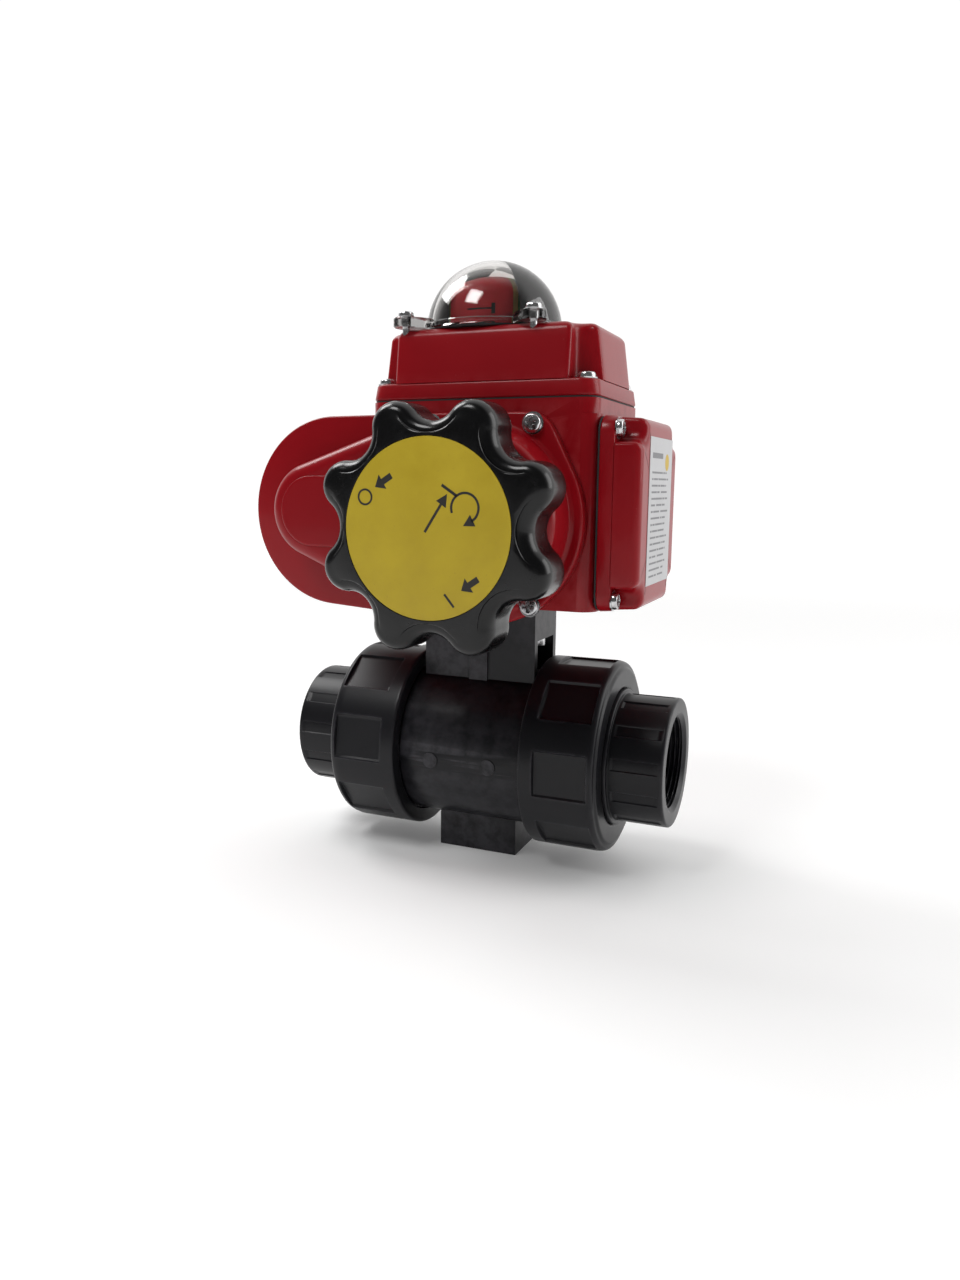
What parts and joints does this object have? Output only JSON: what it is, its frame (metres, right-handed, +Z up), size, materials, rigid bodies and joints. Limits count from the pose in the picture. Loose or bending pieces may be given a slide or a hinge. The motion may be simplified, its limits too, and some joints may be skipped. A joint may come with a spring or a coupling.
{
  "type": "motorized valve actuator",
  "caption": "Quarter-turn electric actuator with handwheel override and position dome, mounted on a plastic true-union ball valve.",
  "frame": {"origin": "centre of the valve foot's underside", "axes": "+X along the pipe towards the terminal cover side, -Y towards the handwheel, +Z up the valve stem"},
  "size_m": [0.2105, 0.1513, 0.2965],
  "materials": {
    "grey_pvc": "satin, moulded",
    "ball_plastic": "polished",
    "stem_plastic": "satin",
    "seal_rubber": "matt",
    "seat_plastic": "satin",
    "red_paint": "glossy powder coat over a casting",
    "label_film": "satin film",
    "clear_dome": "clear polycarbonate",
    "mask_black": "gloss",
    "indicator_red": "satin",
    "shaft_steel": "turned",
    "gear_bronze": "machined",
    "screw_steel": "bright",
    "motor_can": "satin",
    "handwheel_black": "gloss",
    "disc_yellow": "printed film",
    "switch_black": "matt",
    "lever_steel": "satin",
    "board_green": "satin",
    "capacitor_film": "gloss",
    "terminal_green": "satin"
  },
  "bodies": {
    "housing": {"valve_body": "grey_pvc", "end_connector_left": "grey_pvc", "end_connector_right": "grey_pvc", "ball_seats": "seat_plastic", "seat_seals": "seal_rubber", "seat_retainer": "grey_pvc", "face_seals": "seal_rubber", "main_housing": "red_paint", "gear_cover": "red_paint", "gear_cover_gasket": "seal_rubber", "top_cover": "red_paint", "top_gasket": "seal_rubber", "terminal_cover": "red_paint", "terminal_gasket": "seal_rubber", "rating_label": "label_film", "dome": "clear_dome", "dome_mask": "mask_black", "dome_seal": "seal_rubber", "stop_bolts": "screw_steel", "lower_bush": "gear_bronze", "upper_bush": "gear_bronze", "worm_bearings": "shaft_steel", "motor": "motor_can", "hand_bush": "gear_bronze", "push_spring": "shaft_steel", "limit_switches": "switch_black", "switch_bracket": "lever_steel", "circuit_board": "board_green", "capacitor": "capacitor_film", "terminal_block": "terminal_green", "conduit_plug": "switch_black", "gear_cover_screws": "screw_steel", "top_cover_screws": "screw_steel", "terminal_cover_screws": "screw_steel", "dome_screws": "screw_steel", "mount_bolts": "screw_steel"},
    "output": {"output_shaft": "shaft_steel", "worm_wheel": "gear_bronze", "stop_arm": "shaft_steel", "limit_cams": "seat_plastic", "cam_spacer": "shaft_steel", "indicator_drum": "indicator_red", "drive_coupling": "shaft_steel", "stem": "stem_plastic", "stem_seals": "seal_rubber", "ball": "ball_plastic"},
    "worm": {"worm_shaft": "shaft_steel", "worm_gear": "gear_bronze"},
    "motor_rotor": {"motor_pinion": "shaft_steel"},
    "push_slide": {"push_washer": "shaft_steel"},
    "handwheel": {"handwheel": "handwheel_black", "handwheel_label": "disc_yellow", "handwheel_shaft": "shaft_steel", "hand_gear": "gear_bronze"},
    "nut_left": {"union_nut_left": "grey_pvc"},
    "nut_right": {"union_nut_right": "grey_pvc"},
    "lever_open": {"switch_lever_open": "lever_steel"},
    "lever_closed": {"switch_lever_closed": "lever_steel"}
  },
  "joints": [
    {"name": "output_turn", "type": "hinge", "parent": "housing", "child": "output", "pos_m": [0, 0, 0.1725], "axis": [0, 0, 1], "range_deg": [0, 90]},
    {"name": "worm_spin", "type": "hinge", "parent": "housing", "child": "worm", "pos_m": [-0.032, 0, 0.1725], "axis": [0, -1, 0], "range_deg": [0, 2880]},
    {"name": "motor_spin", "type": "hinge", "parent": "housing", "child": "motor_rotor", "pos_m": [-0.067, 0, 0.1725], "axis": [0, -1, 0], "range_deg": [-13920.01, 0]},
    {"name": "handwheel_push", "type": "slide", "parent": "housing", "child": "push_slide", "axis": [0, 1, 0], "range_m": [0, 0.005], "stiffness_N_per_m": 600, "springref_m": -0.004, "deforming": ["push_spring"]},
    {"name": "handwheel_spin", "type": "hinge", "parent": "push_slide", "child": "handwheel", "pos_m": [0.01296, 0, 0.1705], "axis": [0, -1, 0], "continuous": true},
    {"name": "left_nut_turn", "type": "hinge", "parent": "housing", "child": "nut_left", "pos_m": [-0.052, 0, 0.055], "axis": [-1, 0, 0], "range_deg": [0, 720]},
    {"name": "right_nut_turn", "type": "hinge", "parent": "housing", "child": "nut_right", "pos_m": [0.052, 0, 0.055], "axis": [1, 0, 0], "range_deg": [0, 720]},
    {"name": "open_lever", "type": "hinge", "parent": "housing", "child": "lever_open", "pos_m": [0.02, 0.009, 0.1946], "axis": [0, 0, 1], "range_deg": [0, 5], "stiffness_Nm_per_rad": 0.02},
    {"name": "closed_lever", "type": "hinge", "parent": "housing", "child": "lever_closed", "pos_m": [0.02, 0.009, 0.2022], "axis": [0, 0, 1], "range_deg": [0, 5], "stiffness_Nm_per_rad": 0.02}
  ],
  "couplings": [
    {"joint": "worm_spin", "follows": "output_turn", "ratio": 32},
    {"joint": "motor_spin", "follows": "output_turn", "ratio": -154.67}
  ]
}
